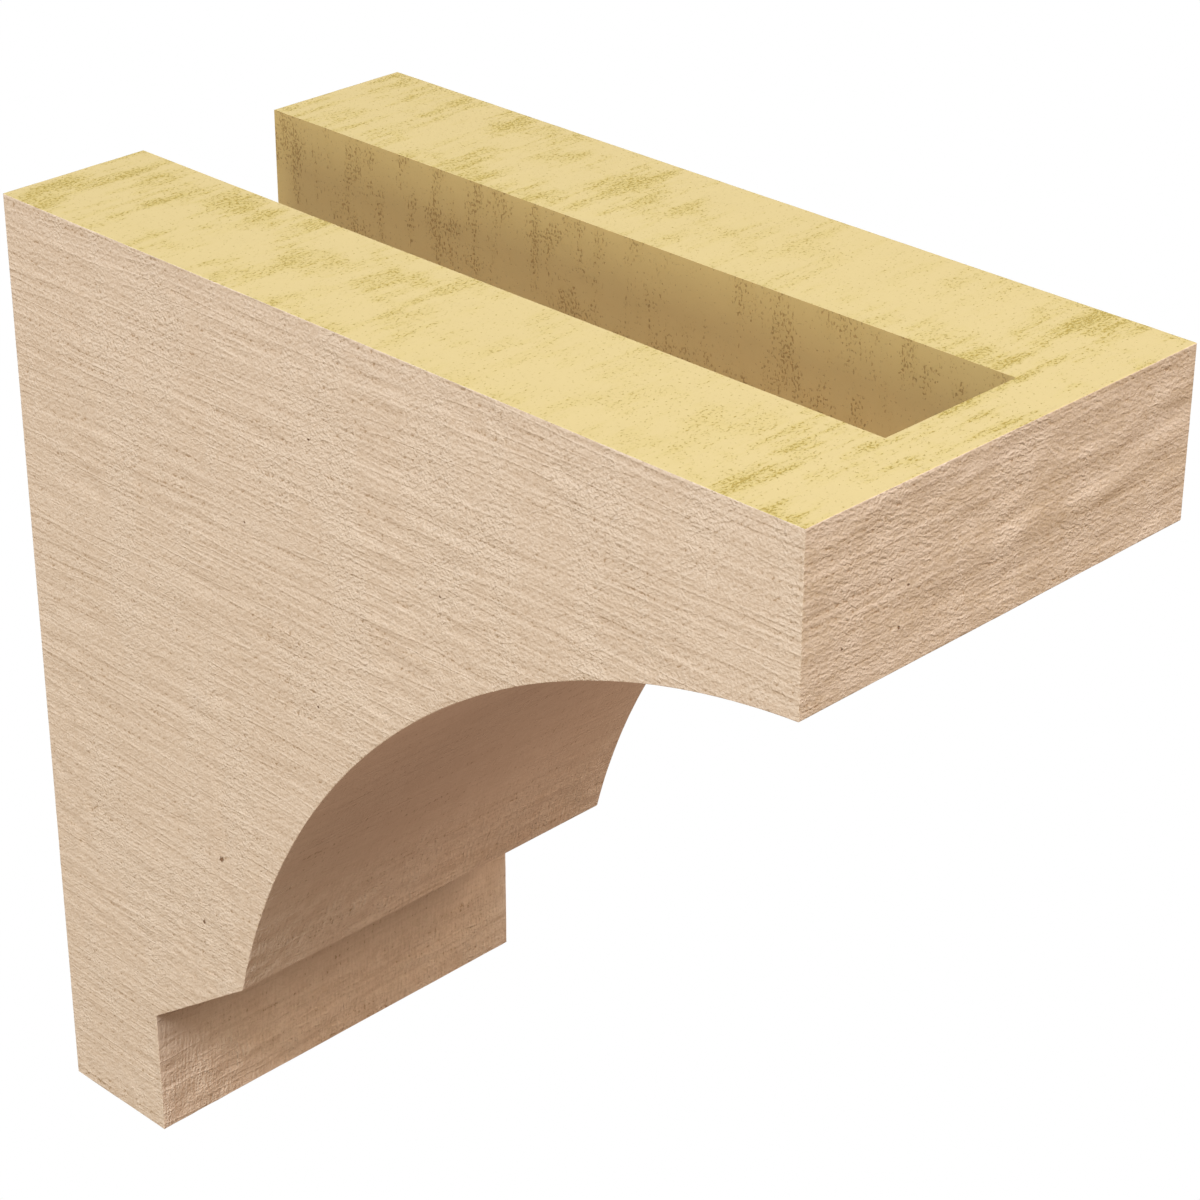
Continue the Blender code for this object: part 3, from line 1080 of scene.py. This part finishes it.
studio_white = bpy.data.materials.new("studio_white")
studio_white.use_nodes = True
studio_white.node_tree.nodes.clear()
glow = add(studio_white.node_tree, "Emission", {"Color": (1, 1, 1, 1), "Strength": 1.0})
add(studio_white.node_tree, "OutputMaterial", {"Surface": glow.outputs[0]})


def stage_piece(name, mesh):
    """A white surface that the camera sees and that no light or shadow comes from."""
    piece = bpy.data.objects.new(name, mesh)
    bpy.context.scene.collection.objects.link(piece)
    for ray in ("diffuse", "glossy", "transmission", "volume_scatter", "shadow"):
        setattr(piece, "visible_" + ray, False)
    piece.data.materials.append(studio_white)


half = FLOOR_SIZE / 2
floor_mesh = bpy.data.meshes.new("studio_floor")
floor_mesh.from_pydata([(-half, -half, -FLOOR_DROP), (half, -half, -FLOOR_DROP),
                        (half, half, -FLOOR_DROP), (-half, half, -FLOOR_DROP)], [], [(0, 1, 2, 3)])
stage_piece("studio_floor", floor_mesh)

dome = bmesh.new()
bmesh.ops.create_uvsphere(dome, u_segments=48, v_segments=24, radius=DOME_RADIUS)
dome_mesh = bpy.data.meshes.new("studio_backdrop")
dome.to_mesh(dome_mesh)
dome.free()
stage_piece("studio_backdrop", dome_mesh)
print("floor", FLOOR_SIZE, "m wide,", FLOOR_DROP, "m below the wall mount")

# %% [markdown]
# ## Camera
#
# The camera's place was worked out from the corners of the block in the photo. It looks down on
# the nose and the left side through a lens of 100 mm, and it leans by a seventh of a degree.

# %% Camera
EYE = Vector((-0.5907, -0.7457, 0.6312))
TARGET = Vector((0, -0.1643, 0.1972))
LENS_MM = 99.6
ROLL_DEGREES = 0.14

camera = bpy.data.objects.new("camera", bpy.data.cameras.new("camera"))
camera.data.lens = LENS_MM
camera.data.sensor_width = 36
camera.location = EYE
facing_target = (TARGET - EYE).to_track_quat("-Z", "Y")
camera.rotation_mode = "QUATERNION"
camera.rotation_quaternion = facing_target @ Quaternion((0, 0, 1), math.radians(ROLL_DEGREES))
bpy.context.scene.collection.objects.link(camera)
bpy.context.scene.camera = camera
print("the camera stands", round((TARGET - EYE).length, 3), "m from its target")

# %% [markdown]
# ## Light
#
# The corbel stands in soft light with a warm glow from below, as a pale floor gives. So the sky
# is a ramp, from straight down at 0 to straight up at 1, and its upper part is dark. Five large
# panels do the rest. Their places, powers and tints were changed until each face of the block
# was as bright and as warm as in the photo.

# %% Sky
SKY = {0.0: (0.68, 0.54, 0.40), 0.35: (0.28, 0.22, 0.16), 0.6: (0.0, 0.0, 0.0), 1.0: (0.0, 0.0, 0.0)}

world = bpy.data.worlds.new("studio_sky")
bpy.context.scene.world = world
world.use_nodes = True
sky_tree = world.node_tree
direction = add(sky_tree, "TexCoord").outputs["Generated"]
upward = add(sky_tree, "SeparateXYZ", {0: direction}).outputs["Z"]
height_share = add(sky_tree, "MapRange", {"Value": upward, "From Min": -1.0, "From Max": 1.0})
sky = add(sky_tree, "ValToRGB", {"Fac": height_share.outputs[0]})
while len(sky.color_ramp.elements) < len(SKY):
    sky.color_ramp.elements.new(0.5)
for stop, (position, colour) in zip(sky.color_ramp.elements, SKY.items()):
    stop.position = position
    stop.color = (*colour, 1)
background = sky_tree.nodes["Background"]
sky_tree.links.new(sky.outputs["Color"], background.inputs["Color"])
dark_from = min(position for position, colour in SKY.items() if not any(colour))
print("the sky is dark from", round(math.degrees(math.asin(2 * dark_from - 1))), "degrees above level")

# %% Light panels
# Each has its place, its size in metres, its power in watts and its tint.
PANELS_OF_LIGHT = {
    "left_panel": ((-5.0, -0.2, 0.7), 2.5, 125.0, (0.86, 1.0, 0.81)),
    "high_left_panel": ((-2.83, -1.2, 4.06), 1.8, 205.0, (0.87, 0.98, 1.0)),
    "high_front_panel": ((-0.3, -3.4, 3.6), 2.2, 70.0, (0.85, 1.0, 0.75)),
    "top_panel": ((-0.1, -2.2, 4.6), 2.0, 104.0, (0.74, 0.87, 1.0)),
    "front_right_panel": ((2.48, -3.12, 3.21), 1.6, 115.0, (1.0, 0.85, 0.64)),
}
for name, (place, size, power, colour) in PANELS_OF_LIGHT.items():
    light = bpy.data.lights.new(name, "AREA")
    light.size = size
    light.energy = power
    light.color = colour
    panel = bpy.data.objects.new(name, light)
    panel.location = place
    panel.rotation_mode = "QUATERNION"
    panel.rotation_quaternion = (TARGET - panel.location).to_track_quat("-Z", "Y")
    bpy.context.scene.collection.objects.link(panel)

# The picture keeps plain colours, with no film look on top.
bpy.context.scene.view_settings.view_transform = "Standard"
print("light panels:", list(PANELS_OF_LIGHT))
